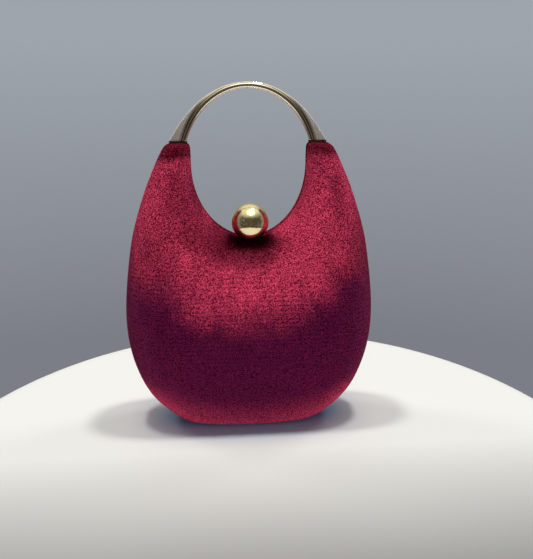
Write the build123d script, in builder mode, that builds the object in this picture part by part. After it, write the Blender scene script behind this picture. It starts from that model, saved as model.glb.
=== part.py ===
from build123d import *
import os
from math import cos, hypot, radians, sin

# Rigid-shell evening purse. Two velvet-covered dished shells meet on the plane y = 0, are hinged
# along the flat base and are locked by a ball clasp at the bottom of the U-shaped opening. A cast
# metal arch handle stands on the two horn tips of the back shell.
# Frame: +Z up, +X to the right seen from the front, front face towards -Y, origin at the centre of
# the flat base. Millimetres.

os.makedirs("parts", exist_ok=True)

FRONT, BACK = -1, 1
SIDES = {"front": FRONT, "back": BACK}
HANDS = {"left": -1, "right": 1}
CUT = Mode.SUBTRACT
GAP = 0.05  # clearance between touching metal pieces
CUT_Y = (-4, 4)  # y range of cuts right through a rim or plate

# ------------------------------------------------------------------ body
# Sections across the body, from a horn tip down to the middle of the base:
# (inner edge x, inner edge z, outer edge x, outer edge z, half depth of the body there)
STATIONS = [
    (38.50, 194.20, 51.80, 194.20, 10.2),
    (37.60, 193.30, 53.60, 193.30, 11.6),
    (37.25, 190.20, 55.60, 190.20, 12.5),
    (37.15, 185.40, 58.30, 185.40, 13.0),
    (37.15, 180.50, 60.71, 180.28, 13.6),
    (36.34, 170.67, 66.17, 168.00, 14.9),
    (33.94, 161.26, 71.87, 152.48, 17.0),
    (30.43, 153.37, 77.34, 134.01, 19.3),
    (26.27, 147.05, 81.03, 114.02, 21.6),
    (21.84, 142.23, 83.86, 92.01, 23.8),
    (18.01, 139.13, 84.67, 72.62, 25.6),
    (15.11, 137.29, 82.68, 53.34, 26.9),
    (12.71, 136.05, 77.48, 34.67, 27.8),
    (10.24, 135.03, 68.39, 17.53, 28.4),
    (7.72, 134.23, 54.61, 3.95, 28.8),
    (5.17, 133.66, 38.34, -6.35, 29.0),
    (2.59, 133.32, 19.32, -10.41, 29.0),
    (0.00, 133.20, 0.00, -12.00, 29.0),
]
TIP_DROP = [1.0, 1.0, 0.85, 0.45]  # how far an inset also lowers the first sections
FULL_INSET_WIDTH, FULL_INSET_DEPTH = 9.0, 12.0  # half sizes below which an inset shrinks
# Pillow-shaped section: straight walls, then a crown whose control points are shares of its
# depth, half width and depth
WALL_BOTTOM, WALL_TOP = -1.6, 1.0
CROWN_RISE, CROWN_LEAN, CROWN_TOP = 1.258, -0.0862, 0.9743

MOUTH = 1.4  # |y| where the covered shells stop at the seam
# Insets of each layer's outer and inner face, outside to inside
LAYERS = {
    "velvet_cover": (0.0, 1.2),
    "padding": (1.3, 2.95),
    "shell": (3.05, 5.05),
    "lining": (5.15, 5.75),
}
POCKET = (5.9, 6.4)
POCKET_W, POCKET_H, POCKET_CORNER_R, POCKET_Z = 88, 62, 12, 47
POCKET_NEAR_Y = 14  # nothing of the pocket lies nearer the seam

# ------------------------------------------------------------------ metal rims
FRAME_OUT, FRAME_IN = 1.5, 6.9  # insets of the rim's outer and inner edge
FRAME_Y = (GAP, 1.3)  # |y| range of the rim's flat face
FRAME_FLOOR = 2.3
LIP_OUT, LIP_Y = 6.15, 2.7  # inner lip that covers the lining's edge
PLATE_Y = (FRAME_Y[1] + GAP, FRAME_Y[1] + GAP + 1.0)  # |y| range of plates riveted to a rim
TAB_W, TAB_H, TAB_CORNER_R, TAB_Z = 18, 12, 2.2, 122.9

# ------------------------------------------------------------------ hinges
HINGE_Z = 2.2  # hinge axis above the resting plane, on y = 0
HINGE_X = 30.0
HINGE_XS = (-HINGE_X, HINGE_X)
HINGE_HALF = 8.0
KNUCKLE_R = 1.9
HINGE_BORE_R, HINGE_PIN_R = 0.85, 0.80
LEAF_BOTTOM, LEAF_TOP = 4.5, 10.3
LEAF_SPANS = {FRONT: [(-2.6, 2.6)], BACK: [(-HINGE_HALF, -2.75), (2.75, HINGE_HALF)]}
HINGE_RIVET_DX, HINGE_RIVET_Z = 5.5, 5.5
HINGE_RIVET_HOLE_R = 0.85
GROOVE_TOP = 2.7  # apex height of the 45 degree relief under the hinge
GROOVE_HALF = 62

# ------------------------------------------------------------------ clasp
BALL_R = 12.3
BALL_CENTRE = Vector(0, -8.5, 144.9)
NECK = Vector(0, -0.9, 132.0)
STEM_LENGTH = (BALL_CENTRE - NECK).length
STEM_AXIS = (BALL_CENTRE - NECK).normalized()
STEM_R, STEM_BORE_R = 1.40, 1.45
BORE_END = 6.3  # from the ball's centre to the end of its bore
STEM_END = BORE_END + 0.3
PIVOT_Y, PIVOT_Z = 4.5, 124.0
PIVOT_R, PIVOT_BORE_R, PIVOT_HEAD_R, PIVOT_EYE_R = 1.0, 1.05, 1.6, 2.3
PIVOT_HALF = 4.6
LEVER_HALF = 1.3
SLOT_X = (-1.9, 1.9)
# Lever outline seen from the side: (y, z)
LEVER_PROFILE = [
    (5.4, 126.0), (0.9, 126.9), (0.9, 132.2), (-0.3, 132.9), (-1.9, 132.4), (-1.9, 125.4),
    (-3.4, 125.2), (-4.0, 124.4), (-4.0, 121.8), (-2.65, 121.8), (-2.65, 123.2), (1.5, 123.0),
    (4.0, 121.85),
]
CLASP_PLATE_TOP = 126.4
LUG_X = (2.9, 3.9)
STRIKE_Y = 2.4  # |y| of the strike plate's inside face
CLASP_RIVETS = [(-6.3, 122.0), (6.3, 122.0)]  # (x, z)
STRIKE_RIVETS = [(-5.3, 120.6), (5.3, 120.6)]
CLASP_RIVET_HOLE_R = 0.90
WIRE_R, COIL_R, COIL_TURNS, COIL_X, COIL_STEP = 0.22, 1.62, 2, -2.62, 0.5

# ------------------------------------------------------------------ handle
HANDLE_Y = 4.3
HANDLE_CENTRE_Z = 187.5
BRACKET_X, BRACKET_Z = (41.2, 49.8), (184.5, 194.4)
BRACKET_BACK_Y = 7.1
SPACER_Z, SPACER_H = BRACKET_Z[1] + GAP, 0.9
SPACER_X, SPACER_L, SPACER_W, SPACER_CORNER_R = 45.05, 11.9, 5.6, 2.6
HANDLE_FOOT_Z = SPACER_Z + SPACER_H + GAP
SCREW_X = 43.2
SCREW_R, SCREW_THREAD_R, SCREW_HOLE_R, SCREW_HEAD_R = 1.0, 1.05, 1.3, 1.85
SCREW_SEAT_Z, SCREW_HEAD_Z = BRACKET_Z[0] - GAP, 182.9
# (angle from the top, inner radius, radial width, bead radius)
HANDLE_SECTIONS = [
    (92, 39.90, 14.90, 2.80),
    (83, 39.90, 12.30, 2.70),
    (76, 39.70, 10.20, 2.62),
    (68, 39.30, 8.65, 2.52),
    (57, 39.10, 7.05, 2.40),
    (45, 39.15, 5.90, 2.28),
    (30, 39.50, 4.98, 2.16),
    (13, 40.05, 4.33, 2.08),
    (0, 40.15, 4.25, 2.08),
]
CREASE_SIN, CREASE_COS = 0.72, 0.694  # where the fin's flat faces leave the round bead


# ------------------------------------------------------------------ helpers
def around(centre, half):
    return centre - half, centre + half


def toward(side, near, far):
    """Range on one side of a mid plane, from its distances to the plane."""
    return side * near, side * far


def block(x_range, y_range, z_range, mode=Mode.ADD):
    """Box from its limits, inside a BuildPart."""
    ranges = (x_range, y_range, z_range)
    with Locations(tuple((a + b) / 2 for a, b in ranges)):
        Box(*(abs(b - a) for a, b in ranges), mode=mode)


def rod(start, end, radius, mode=Mode.ADD):
    """Cylinder between two points, inside a BuildPart."""
    start, end = Vector(start), Vector(end)
    with BuildSketch(Plane(origin=start, z_dir=end - start)) as disc:
        Circle(radius)
    extrude(disc.sketch, amount=(end - start).length, mode=mode)


def rod_x(x_range, y, z, radius, mode=Mode.ADD):
    rod((x_range[0], y, z), (x_range[1], y, z), radius, mode)


def screw_rod(hand, z_range, radius, mode=Mode.ADD):
    """Upright cylinder on a handle screw's axis."""
    x = hand * SCREW_X
    rod((x, HANDLE_Y, z_range[0]), (x, HANDLE_Y, z_range[1]), radius, mode)


def rivet_holes(points, radius):
    for x, z in points:
        rod((x, CUT_Y[0], z), (x, CUT_Y[1], z), radius, mode=CUT)


def hinge_rivet_points(hinge_x):
    return [(hinge_x + dx, HINGE_RIVET_Z) for dx in (-HINGE_RIVET_DX, HINGE_RIVET_DX)]


HINGE_RIVETS = [point for hinge_x in HINGE_XS for point in hinge_rivet_points(hinge_x)]


def keep_beyond_mouth(side):
    block((-200, 200), toward(side, MOUTH, MOUTH + 60), (-100, 300), mode=Mode.INTERSECT)


def finish(builder, name):
    builder.part.label = name
    export_step(builder.part, f"parts/{name}.step")


# ------------------------------------------------------------------ body sections
def span_of(in_x, in_z, out_x, out_z):
    """Length and unit direction (x, z) of a section, from its inner to its outer edge."""
    length = hypot(out_x - in_x, out_z - in_z)
    return length, (out_x - in_x) / length, (out_z - in_z) / length


def section_table(inset):
    """Sections of both halves of the body, with STATIONS' columns, moved in by inset."""
    half = []
    for i, (in_x, in_z, out_x, out_z, depth) in enumerate(STATIONS):
        length, ux, uz = span_of(in_x, in_z, out_x, out_z)
        move = min(inset, inset * (length / 2) / FULL_INSET_WIDTH)
        thinning = min(inset, inset * depth / FULL_INSET_DEPTH)
        drop = inset * (TIP_DROP[i] if i < len(TIP_DROP) else 0.0)
        half.append((in_x + ux * move, in_z + uz * move - drop,
                     out_x - ux * move, out_z - uz * move - drop, depth - thinning))
    mirrored = [(-in_x, in_z, -out_x, out_z, depth)
                for in_x, in_z, out_x, out_z, depth in reversed(half[:-1])]
    return half + mirrored


def pillow(inset):
    """Solid dished front half body, inset from the outside and cut flat at z = inset."""
    with BuildPart() as body:
        for in_x, in_z, out_x, out_z, depth in section_table(inset):
            length, ux, uz = span_of(in_x, in_z, out_x, out_z)
            w = length / 2
            crown = depth - WALL_TOP
            shoulder, top = WALL_TOP + CROWN_RISE * crown, WALL_TOP + CROWN_TOP * crown
            lean = CROWN_LEAN * w
            # local x runs from inner to outer edge, local y towards the front
            plane = Plane(origin=((in_x + out_x) / 2, 0, (in_z + out_z) / 2),
                          x_dir=(ux, 0, uz), z_dir=(uz, 0, -ux))
            with BuildSketch(plane):
                with BuildLine():
                    Line((w, WALL_BOTTOM), (w, WALL_TOP))
                    Bezier((w, WALL_TOP), (w, shoulder), (lean, top),
                           (-lean, top), (-w, shoulder), (-w, WALL_TOP))
                    Line((-w, WALL_TOP), (-w, WALL_BOTTOM))
                    Line((-w, WALL_BOTTOM), (w, WALL_BOTTOM))
                make_face()
        loft()
        split(bisect_by=Plane.XY.offset(inset), keep=Keep.TOP)
    return body.part


# Solid half bodies by (inset, side), shared by the layers and the pocket
BLANKS = {}
for inset in sum(LAYERS.values(), POCKET):
    BLANKS[inset, FRONT] = pillow(inset)
    BLANKS[inset, BACK] = mirror(BLANKS[inset, FRONT], about=Plane.XZ)


# ------------------------------------------------------------------ covered shells
def relief_cuts(side):
    """Openings every layer shares: hinge groove and windows, clasp slot, back bracket pockets."""
    with BuildSketch(Plane.YZ.offset(-GROOVE_HALF)) as groove:
        with BuildLine():
            Polyline((0, GROOVE_TOP), (GROOVE_TOP + 1, -1), (-GROOVE_TOP - 1, -1), close=True)
        make_face()
    extrude(groove.sketch, amount=2 * GROOVE_HALF, mode=CUT)
    for hinge_x in HINGE_XS:
        block(around(hinge_x, HINGE_HALF + 0.4), (-3.3, 3.3), (-1, 7.4), mode=CUT)
    block(SLOT_X, toward(side, 1.0, 3.7), (126.0, 136.0), mode=CUT)
    if side == BACK:
        for hand in HANDS.values():
            pocket_x = toward(hand, BRACKET_X[0] - 0.2, BRACKET_X[1] + 0.2)
            block(pocket_x, (1.0, BRACKET_BACK_Y + 0.2), (180.5, 196.0), mode=CUT)


def make_layer(where, side, name):
    outer, inner = LAYERS[name]
    with BuildPart() as part:
        add(BLANKS[outer, side])
        keep_beyond_mouth(side)
        add(BLANKS[inner, side], mode=CUT)
        relief_cuts(side)
        if name == "lining":  # room behind the clasp tab
            block(around(0, TAB_W / 2 + 0.6), toward(side, 1.0, 8.4), (116, 136), mode=CUT)
    finish(part, f"{where}_{name}")


def make_lining_pocket():
    """Slip pocket sewn to the back lining."""
    with BuildPart() as part:
        add(BLANKS[POCKET[0], BACK])
        add(BLANKS[POCKET[1], BACK], mode=CUT)
        with BuildSketch(Plane.XZ):
            with Locations((0, POCKET_Z)):
                RectangleRounded(POCKET_W, POCKET_H, POCKET_CORNER_R)
        extrude(amount=-40, mode=Mode.INTERSECT)
        block((-60, 60), (0, POCKET_NEAR_Y), (-10, 120), mode=CUT)
    finish(part, "lining_pocket")


# ------------------------------------------------------------------ metal rims
def outline_plate(inset, side, near, far):
    """Flat U-shaped plate bounded by the body's inset outline, inside a BuildPart."""
    table = section_table(inset)[1:-1]
    outer = [(out_x, out_z) for _, _, out_x, out_z, _ in table]
    inner = [(in_x, in_z) for in_x, in_z, _, _, _ in table]
    with BuildSketch(Plane.XZ.offset(-side * near)) as face:
        with BuildLine():
            Spline(*outer)
            Line(outer[-1], inner[-1])
            Spline(*reversed(inner))
            Line(inner[0], outer[0])
        make_face()
    extrude(face.sketch, amount=-side * (far - near), mode=Mode.ADD)


def make_frame(where, side):
    """Flat face plate that follows the outline, an inner lip, and a tab for the clasp."""
    face_near, face_far = FRAME_Y
    full_x = (-120, 120)
    with BuildPart() as lip:
        outline_plate(LIP_OUT, side, face_far - 0.1, LIP_Y)
        block(full_x, toward(side, 1, 4), (-20, LIP_OUT), mode=CUT)
        block(around(0, TAB_W / 2 + 0.6), toward(side, face_far, 6), (120, 135), mode=CUT)
        for hinge_x in HINGE_XS:
            block(around(hinge_x, HINGE_HALF + 0.4), toward(side, face_far, 3.2), (0, 11),
                  mode=CUT)
        for hand in HANDS.values():
            block(toward(hand, 30, 60), toward(side, face_far, 6), (179, 196), mode=CUT)
    with BuildPart() as opening:
        outline_plate(FRAME_IN, side, 0, 6)
        block(full_x, toward(side, -1, 7), (-20, FRAME_IN), mode=CUT)
    with BuildPart() as part:
        outline_plate(FRAME_OUT, side, face_near, face_far)
        block(full_x, toward(side, -1, 4), (-20, FRAME_FLOOR), mode=CUT)
        add(lip.part)
        add(opening.part, mode=CUT)
        # clasp tab below the bottom of the U
        with BuildSketch(Plane.XZ.offset(-side * face_near)) as tab:
            with Locations((0, TAB_Z)):
                RectangleRounded(TAB_W, TAB_H, TAB_CORNER_R)
        extrude(tab.sketch, amount=-side * (face_far - face_near))
        block(SLOT_X, (-3, 3), (120.8, 136), mode=CUT)
        for hinge_x in HINGE_XS:
            block(around(hinge_x, HINGE_HALF + 0.3), (-3, 3), (-1, 4.4), mode=CUT)
        rivet_holes(HINGE_RIVETS, HINGE_RIVET_HOLE_R)
        rivet_holes(CLASP_RIVETS if side == BACK else STRIKE_RIVETS, CLASP_RIVET_HOLE_R)
    finish(part, f"{where}_frame")


# ------------------------------------------------------------------ base hinges
def make_hinge_leaf(where, side, hand_name, hinge_x):
    """One leaf: a plate riveted behind the rim, with its knuckles round the pin."""
    with BuildPart() as part:
        plate_y = toward(side, *PLATE_Y)
        block(around(hinge_x, HINGE_HALF), plate_y, (LEAF_BOTTOM, LEAF_TOP))
        for start, end in LEAF_SPANS[side]:
            start, end = hinge_x + start, hinge_x + end
            block((start, end), plate_y, (HINGE_Z, LEAF_BOTTOM + 0.1))
            block((start, end), toward(side, 0, 2.2), (HINGE_Z - 0.6, HINGE_Z + 0.9))
            rod_x((start, end), 0, HINGE_Z, KNUCKLE_R)
            rod_x((start - 1, end + 1), 0, HINGE_Z, HINGE_BORE_R, mode=CUT)
        rivet_holes(hinge_rivet_points(hinge_x), HINGE_RIVET_HOLE_R)
    finish(part, f"hinge_leaf_{where}_{hand_name}")


def make_hinge_pin(hand_name, hinge_x):
    with BuildPart() as part:
        rod_x(around(hinge_x, HINGE_HALF), 0, HINGE_Z, HINGE_PIN_R)
    finish(part, f"hinge_pin_{hand_name}")


def make_rivets(points, side, plate_face, name, radius=0.85, head_r=1.5):
    """Flush at the seam, with a domed head on the inside face at |y| = plate_face."""
    head_near, head_far = plate_face + 0.02, plate_face + 0.55
    with BuildPart() as part:
        for x, z in points:
            rod((x, side * 0.08, z), (x, side * head_near, z), radius)
            rod((x, side * head_near, z), (x, side * head_far, z), head_r)
        fillet(part.edges().filter_by(GeomType.CIRCLE).filter_by(
            lambda e: abs(e.radius - head_r) < 0.01
            and abs(abs(e.arc_center.Y) - head_far) < 0.05), 0.35)
    finish(part, name)


# ------------------------------------------------------------------ clasp pieces
def make_clasp_ball():
    """Ball knob, bored for the lever's stem."""
    with BuildPart() as part:
        with Locations(BALL_CENTRE):
            Sphere(BALL_R)
        rod(BALL_CENTRE - STEM_AXIS * 20, BALL_CENTRE - STEM_AXIS * BORE_END, STEM_BORE_R,
            mode=CUT)
    finish(part, "clasp_ball")


def make_clasp_lever():
    """Pivot eye, forward hook, neck through the seam and stem into the ball."""
    with BuildPart() as part:
        with BuildSketch(Plane.YZ.offset(-LEVER_HALF)):
            with BuildLine():
                Polyline(*LEVER_PROFILE, close=True)
            make_face()
            with Locations((PIVOT_Y, PIVOT_Z)):
                Circle(PIVOT_EYE_R)
                Circle(PIVOT_BORE_R, mode=CUT)
        extrude(amount=2 * LEVER_HALF)
        rod(NECK - STEM_AXIS * 0.3, NECK + STEM_AXIS * (STEM_LENGTH - STEM_END), STEM_R)
    finish(part, "clasp_lever")


def make_clasp_bracket():
    """Plate on the back rim's tab, with two lugs for the pivot pin."""
    with BuildPart() as part:
        block((-8.5, 8.5), PLATE_Y, (118.0, CLASP_PLATE_TOP))
        for hand in HANDS.values():
            block(toward(hand, *LUG_X), (1.9, 7.6), (120.4, CLASP_PLATE_TOP))
        fillet(part.edges().filter_by(Axis.X).group_by(Axis.Y)[-1], 1.5)
        block(SLOT_X, (1.0, 2.6), (119.8, 127.0), mode=CUT)
        rod_x((-6, 6), PIVOT_Y, PIVOT_Z, PIVOT_BORE_R, mode=CUT)
        rivet_holes(CLASP_RIVETS, CLASP_RIVET_HOLE_R)
    finish(part, "clasp_bracket")


def make_clasp_pivot_pin():
    with BuildPart() as part:
        rod_x((-PIVOT_HALF, PIVOT_HALF), PIVOT_Y, PIVOT_Z, PIVOT_R)
        for hand in HANDS.values():
            head_x = toward(hand, LUG_X[1] + GAP, PIVOT_HALF)
            rod_x(head_x, PIVOT_Y, PIVOT_Z, PIVOT_HEAD_R)
    finish(part, "clasp_pivot_pin")


def make_clasp_spring():
    """Torsion spring beside the lever."""
    top_z = PIVOT_Z + COIL_R
    path = [(COIL_X, PIVOT_Y + 2.2, top_z), (COIL_X, PIVOT_Y + 1.1, top_z)]
    for i in range(COIL_TURNS * 12 + 1):
        angle = radians(30 * i)
        path.append((COIL_X + COIL_STEP * i / 12,
                     PIVOT_Y - COIL_R * sin(angle), PIVOT_Z + COIL_R * cos(angle)))
    end_x = COIL_X + COIL_STEP * COIL_TURNS
    path += [(end_x, PIVOT_Y - 1.0, top_z), (end_x, PIVOT_Y - 1.8, top_z)]
    with BuildPart() as part:
        with BuildLine():
            Spline(*path)
        with BuildSketch(Plane(origin=path[0], z_dir=(0, -1, 0))):
            Circle(WIRE_R)
        sweep(is_frenet=True)
    finish(part, "clasp_spring")


def make_strike_plate():
    """Plate on the front rim's tab; the hook drops over the lower edge of its window."""
    with BuildPart() as part:
        block((-7.5, 7.5), toward(FRONT, PLATE_Y[0], STRIKE_Y), (118.2, CLASP_PLATE_TOP))
        fillet(part.edges().filter_by(Axis.Y), 1.2)
        block(SLOT_X, (-3.0, -1.0), (122.9, 127.0), mode=CUT)
        rivet_holes(STRIKE_RIVETS, CLASP_RIVET_HOLE_R)
    finish(part, "strike_plate")


# ------------------------------------------------------------------ handle and its fixings
def make_handle():
    """Arch with a round bead inside and a tapering fin outside."""
    mirrored = [(-angle, *sizes) for angle, *sizes in reversed(HANDLE_SECTIONS[:-1])]
    with BuildPart() as part:
        for angle, inner_r, width, bead in HANDLE_SECTIONS + mirrored:
            ux, uz = sin(radians(angle)), cos(radians(angle))
            # local x runs radially outwards
            plane = Plane(
                origin=(ux * inner_r, HANDLE_Y, HANDLE_CENTRE_Z + uz * inner_r),
                x_dir=(ux, 0, uz),
                z_dir=(-uz, 0, ux),
            )
            crease = bead * (1 + CREASE_COS)
            root_half = bead * CREASE_SIN
            edge_half = bead * (0.50 + 0.10 * min(1.0, (width - 4) / 6))
            edge = width - 0.55 * edge_half
            with BuildSketch(plane):
                with BuildLine():
                    ThreePointArc((crease, -root_half), (0, 0), (crease, root_half))
                    Line((crease, root_half), (edge, edge_half))
                    ThreePointArc((edge, edge_half), (width, 0), (edge, -edge_half))
                    Line((edge, -edge_half), (crease, -root_half))
                make_face()
        loft()
        split(bisect_by=Plane.XY.offset(HANDLE_FOOT_Z), keep=Keep.TOP)
        for hand in HANDS.values():
            screw_rod(hand, (HANDLE_FOOT_Z - 1, HANDLE_FOOT_Z + 5), SCREW_THREAD_R, mode=CUT)
    finish(part, "handle")


def make_handle_bracket(hand_name, hand):
    with BuildPart() as part:
        block(toward(hand, *BRACKET_X), (PLATE_Y[0], BRACKET_BACK_Y), BRACKET_Z)
        fillet(part.edges().filter_by(Axis.X).group_by(Axis.Z)[0].sort_by(Axis.Y)[-1:], 1.5)
        screw_rod(hand, (180, 196), SCREW_HOLE_R, mode=CUT)
    finish(part, f"handle_bracket_{hand_name}")


def make_handle_spacer(hand_name, hand):
    with BuildPart() as part:
        with BuildSketch(Plane.XY.offset(SPACER_Z)):
            with Locations((hand * SPACER_X, HANDLE_Y)):
                RectangleRounded(SPACER_L, SPACER_W, SPACER_CORNER_R)
        extrude(amount=SPACER_H)
        screw_rod(hand, (190, 197), SCREW_HOLE_R, mode=CUT)
    finish(part, f"handle_spacer_{hand_name}")


def make_handle_screws():
    """Both screws, with slotted heads under the brackets."""
    with BuildPart() as part:
        for hand in HANDS.values():
            screw_rod(hand, (SCREW_SEAT_Z, HANDLE_FOOT_Z + 4.6), SCREW_R)
            screw_rod(hand, (SCREW_HEAD_Z, SCREW_SEAT_Z), SCREW_HEAD_R)
            block(around(hand * SCREW_X, 1.2), around(HANDLE_Y, 0.22), (182.5, 183.6), mode=CUT)
    finish(part, "handle_screws")


# ------------------------------------------------------------------ build every piece
for where, side in SIDES.items():
    for layer_name in LAYERS:
        make_layer(where, side, layer_name)
    make_frame(where, side)
    make_rivets(HINGE_RIVETS, side, PLATE_Y[1], f"hinge_rivets_{where}", radius=0.8, head_r=1.45)
    for hand_name, hand in HANDS.items():
        make_hinge_leaf(where, side, hand_name, hand * HINGE_X)
make_lining_pocket()

make_clasp_ball()
make_clasp_lever()
make_clasp_bracket()
make_rivets(CLASP_RIVETS, BACK, PLATE_Y[1], "clasp_rivets")
make_clasp_pivot_pin()
make_clasp_spring()
make_strike_plate()
make_rivets(STRIKE_RIVETS, FRONT, STRIKE_Y, "strike_rivets")

make_handle()
for hand_name, hand in HANDS.items():
    make_hinge_pin(hand_name, hand * HINGE_X)
    make_handle_bracket(hand_name, hand)
    make_handle_spacer(hand_name, hand)
make_handle_screws()
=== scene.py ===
"""Small velvet purse shaped like a wide U with two horns, with a ball clasp and an arched metal handle.

It stands on the plane z = 0, x runs from left to right as the camera sees it, and the front
half lies at -y. The halves meet in the plane y = 0. Shape tables are in millimetres, the rest
in metres unless a comment says otherwise.
"""

import math

import bmesh
import bpy
import numpy as np
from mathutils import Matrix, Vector
from mathutils.bvhtree import BVHTree


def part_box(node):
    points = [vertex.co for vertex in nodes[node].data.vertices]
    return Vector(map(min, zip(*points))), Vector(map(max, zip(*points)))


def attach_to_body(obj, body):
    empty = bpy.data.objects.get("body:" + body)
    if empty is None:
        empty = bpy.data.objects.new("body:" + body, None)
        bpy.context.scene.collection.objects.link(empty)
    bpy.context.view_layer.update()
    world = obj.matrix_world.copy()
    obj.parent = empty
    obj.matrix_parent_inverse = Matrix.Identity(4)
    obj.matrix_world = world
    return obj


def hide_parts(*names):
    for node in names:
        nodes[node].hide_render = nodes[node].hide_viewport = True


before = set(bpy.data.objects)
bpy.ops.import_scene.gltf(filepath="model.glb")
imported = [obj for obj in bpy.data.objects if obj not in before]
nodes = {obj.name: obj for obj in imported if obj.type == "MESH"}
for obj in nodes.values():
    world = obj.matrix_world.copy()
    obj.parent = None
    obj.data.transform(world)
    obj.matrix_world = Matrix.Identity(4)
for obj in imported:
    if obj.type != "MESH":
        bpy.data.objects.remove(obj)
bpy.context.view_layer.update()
scene = bpy.context.scene
MM = 0.001
FRONT, BACK = -1, 1  # sign of y on each half

# ------------------------------------------------------------------ shape of the body
# inner edge x, inner edge z, outer edge x, outer edge z, half depth (mm),
# from the right horn's tip to the middle of the base
STATIONS = [
    (37.25, 190.20, 55.60, 190.20, 12.5),
    (37.15, 185.40, 58.30, 185.40, 13.0),
    (37.15, 180.50, 60.71, 180.28, 13.6),
    (36.34, 170.67, 66.17, 168.00, 14.9),
    (33.94, 161.26, 71.87, 152.48, 17.0),
    (30.43, 153.37, 77.34, 134.01, 19.3),
    (26.27, 147.05, 81.03, 114.02, 21.6),
    (21.84, 142.23, 83.86, 92.01, 23.8),
    (18.01, 139.13, 84.67, 72.62, 25.6),
    (15.11, 137.29, 82.68, 53.34, 26.9),
    (12.71, 136.05, 77.48, 34.67, 27.8),
    (10.24, 135.03, 68.39, 17.53, 28.4),
    (7.72, 134.23, 54.61, 3.95, 28.8),
    (5.17, 133.66, 38.34, -6.35, 29.0),
    (2.59, 133.32, 19.32, -10.41, 29.0),
    (0.00, 133.20, 0.00, -12.00, 29.0),
]
MIRROR_STATION = [-1, 1, -1, 1, 1]
BULGE = 2.35  # exponent of the superellipse that each section follows
INNER_SHARE, OUTER_SHARE = 0.35, 0.65  # how much each edge's length counts in the spacing

# rounding of each horn's top (mm)
TIP_STEPS = 8
TIP_HEIGHT = 4.0
TIP_SLOPE = 0.45  # the outer edge leans in by this much per mm of height
TIP_INNER, TIP_OUTER, TIP_DEPTH = 1.9, 3.4, 3.9  # how far each edge and the depth draw in


def natural_spline(knots, values, at):
    """Natural cubic spline through one row of values per knot, evaluated at the places in at."""
    knots, values, at = (np.asarray(item, float) for item in (knots, values, at))
    count = len(knots)
    gap = np.diff(knots)
    system = np.zeros((count, count))
    target = np.zeros((count, values.shape[1]))
    system[0, 0] = system[-1, -1] = 1.0
    for i in range(1, count - 1):
        system[i, i - 1 : i + 2] = gap[i - 1], 2 * (gap[i - 1] + gap[i]), gap[i]
        target[i] = 6 * (
            (values[i + 1] - values[i]) / gap[i] - (values[i] - values[i - 1]) / gap[i - 1]
        )
    bend = np.linalg.solve(system, target)
    k = np.clip(np.searchsorted(knots, at) - 1, 0, count - 2)
    after = (knots[k + 1] - at)[:, None]
    before = (at - knots[k])[:, None]
    width = gap[k][:, None]
    return (
        bend[k] * after**3 / (6 * width)
        + bend[k + 1] * before**3 / (6 * width)
        + (values[k] / width - bend[k] * width / 6) * after
        + (values[k + 1] / width - bend[k + 1] * width / 6) * before
    )


half_table = np.array(STATIONS)
body_table = np.vstack([half_table, (half_table[:-1] * MIRROR_STATION)[::-1]])
station_steps = INNER_SHARE * np.hypot(*np.diff(body_table[:, 0:2], axis=0).T)
station_steps += OUTER_SHARE * np.hypot(*np.diff(body_table[:, 2:4], axis=0).T)
body_distance = np.concatenate([[0], np.cumsum(station_steps)])


def tip_rows():
    """Sections over the right horn's rounded top, from the first station upwards."""
    inner_x, base_z, outer_x, _, depth = STATIONS[0]
    rows = []
    for k in range(1, TIP_STEPS + 1):
        angle = math.radians(90 * k / TIP_STEPS)
        rise = TIP_HEIGHT * math.sin(angle)
        draw = 1 - math.cos(angle)
        rows.append((
            inner_x + TIP_INNER * draw, base_z + rise,
            outer_x - TIP_SLOPE * rise - TIP_OUTER * draw, base_z + rise,
            depth - TIP_DEPTH * draw,
        ))
    return np.array(rows)


def rings(spacing, inset=0.0):
    """Section rows, laid out as in STATIONS, from the right horn's top round to the left one's."""
    count = int(body_distance[-1] / spacing) | 1
    body = natural_spline(body_distance, body_table, np.linspace(0, body_distance[-1], count))
    tip = tip_rows()
    rows = np.vstack([tip[::-1], body, tip * MIRROR_STATION])
    if inset:
        axis = rows[:, 2:4] - rows[:, 0:2]
        length = np.hypot(axis[:, 0], axis[:, 1])[:, None]
        axis = axis / length
        # thin sections move in less
        move = np.minimum(inset, inset * (length / 2) / 9.0)
        rows[:, 0:2] += axis * move
        rows[:, 2:4] -= axis * move
        rows[:, 4] -= np.minimum(inset, inset * rows[:, 4] / 12.0)
        # the horn tops move down as well
        drop = inset * np.clip((rows[:, 1] - 178.0) / 12.0, 0, 1) ** 2
        drop = np.where(np.abs(rows[:, 0]) > 30, drop, 0)
        rows[:, 1] -= drop
        rows[:, 3] -= drop
    return rows


def section_axes(rows):
    """Half width, unit direction from inner to outer edge (x, z) and middle (x, z) per section."""
    inner_x, inner_z, outer_x, outer_z, _ = rows.T
    half_width = np.hypot(outer_x - inner_x, outer_z - inner_z) / 2
    unit_x = (outer_x - inner_x) / (2 * half_width)
    unit_z = (outer_z - inner_z) / (2 * half_width)
    return half_width, unit_x, unit_z, (outer_x + inner_x) / 2, (outer_z + inner_z) / 2


def smooth_floor(z, floor, radius):
    """Hold z above the floor, with a soft bend of the given radius."""
    above = z - floor
    bend = floor + (above + radius) ** 2 / (4 * radius)
    return np.where(above >= radius, z, np.where(above <= -radius, floor, bend))


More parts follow.
